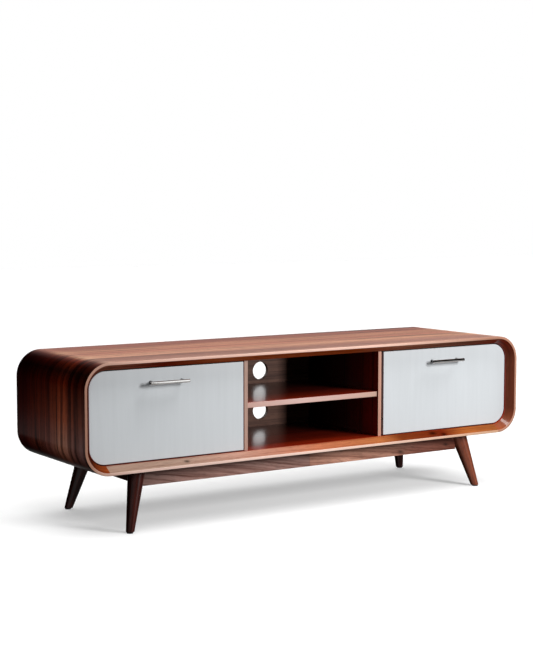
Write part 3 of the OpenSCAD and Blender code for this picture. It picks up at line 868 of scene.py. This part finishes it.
def soft_sun(name, way, strength, spread_angle, receivers):
    """A far, wide light from the direction way, for the given receivers."""
    data = bpy.data.lights.new(name, "SUN")
    data.energy, data.angle = strength, math.radians(spread_angle)
    lamp = bpy.data.objects.new(name, data)
    bpy.context.scene.collection.objects.link(lamp)
    lamp.rotation_euler = Vector(way).to_track_quat("Z", "Y").to_euler()
    lamp.light_linking.receiver_collection = receivers
    return lamp


def soft_box(name, place, aim, width, height, power, receivers=None):
    """A rectangular soft light at place, turned to face aim."""
    data = bpy.data.lights.new(name, "AREA")
    data.shape = "RECTANGLE"
    data.size, data.size_y, data.energy = width, height, power
    lamp = bpy.data.objects.new(name, data)
    bpy.context.scene.collection.objects.link(lamp)
    lamp.location = place
    way = Vector(place) - Vector(aim)
    lamp.rotation_euler = way.to_track_quat("Z", "Y").to_euler()
    lamp.visible_camera = False
    if receivers:
        lamp.light_linking.receiver_collection = receivers
    return lamp


# each sun: its way, strength and width in degrees; each box: its place and aim, width,
# height and watts; then what it lights
soft_sun("floor_light", (0.05, -0.05, 1.0), 3.6, 75, floor_only)
overhead = soft_sun("overhead", (0.50, -0.12, 0.86), 3.9, 36, all_but_floor)
overhead.visible_glossy = False
soft_box("key", (1.08, -2.3, 1.15), (0.1, -0.1, 0.3), 0.66, 1.0, 62, all_but_handles)
soft_box("low_card", (-1.30, 1.05, 0.05), (-0.75, 0.0, 0.2), 1.6, 0.14, 0.05, left_end_only)
bounce = soft_box("left_bounce", (-1.15, -0.05, 0.02), (-0.76, -0.05, 0.26), 0.8, 0.5, 1.3,
                  left_end_only)
bounce.visible_glossy = False
soft_box("corner_strip", (0.35, -0.45, 1.6), (0.70, -0.2, 0.2), 0.6, 0.4, 22.0, right_end_only)
soft_box("panel_front", (0.74, -2.0, 0.42), (0.0, 0.18, 0.32), 0.2, 0.2, 56.0, panel_only)
soft_box("panel_back", (-0.8, 2.6, 1.4), (0.0, 0.19, 0.3), 1.2, 1.2, 30.0, panel_only)
soft_box("hole_card", (0.12, 0.30, 0.30), (0.12, 0.0, 0.30), 0.4, 0.4, 0.42, bay_only)
soft_box("bar_card", (0.46, -1.2, 1.3), (0.46, -0.2, 1.3), 0.88, 2.6, 7.5, left_bar_only)
soft_box("bar_floor_card", (0.9, -1.0, 0.01), (0.9, -1.0, 1.0), 2.4, 1.4, 3.0, bars_only)

# the room's light by direction: behind on the right, the front left, and a little from
# below in front. Reflections see less of the front part, and the camera sees plain white.
BEHIND_GLOW, LEFT_GLOW, REFLECTION_CUT = 0.22, 0.32, 0.7

world = bpy.data.worlds.new("studio")
bpy.context.scene.world = world
world.use_nodes = True
tree = world.node_tree
tree.nodes.clear()
direction = add(tree, "ShaderNodeTexCoord").outputs["Generated"]
wx, wy, wz = add(tree, "ShaderNodeSeparateXYZ", {0: direction}).outputs
front = spread(tree, wy, 0.1, -0.3)
below = sums(tree, "MULTIPLY", spread(tree, wz, 0.05, -0.35, 0.02, 0.16), front)
behind = sums(tree, "MULTIPLY", spread(tree, wx, 0.1, 0.4), spread(tree, wy, 0.1, 0.5))
left = sums(tree, "MULTIPLY", sums(tree, "MULTIPLY", spread(tree, wx, 0.0, -0.5), front),
            spread(tree, wz, 0.8, 0.4))
ray = add(tree, "ShaderNodeLightPath").outputs
fade = sums(tree, "MULTIPLY_ADD", ray["Is Glossy Ray"], -REFLECTION_CUT, 1.0)
facing = sums(tree, "MULTIPLY", sums(tree, "MULTIPLY_ADD", left, LEFT_GLOW, below), fade)
ambient = sums(tree, "MULTIPLY_ADD", behind, BEHIND_GLOW, facing)
seen = ray["Is Camera Ray"]
level = add(tree, "ShaderNodeMix", {0: seen, 2: ambient, 3: 1.0}).outputs[0]
backdrop = add(tree, "ShaderNodeBackground", {"Color": (1, 1, 1, 1), "Strength": level})
add(tree, "ShaderNodeOutputWorld", {0: backdrop.outputs[0]})

view = bpy.context.scene.view_settings
view.view_transform = "Standard"
view.look = "None"
view.exposure = 0.0
view.gamma = 1.0
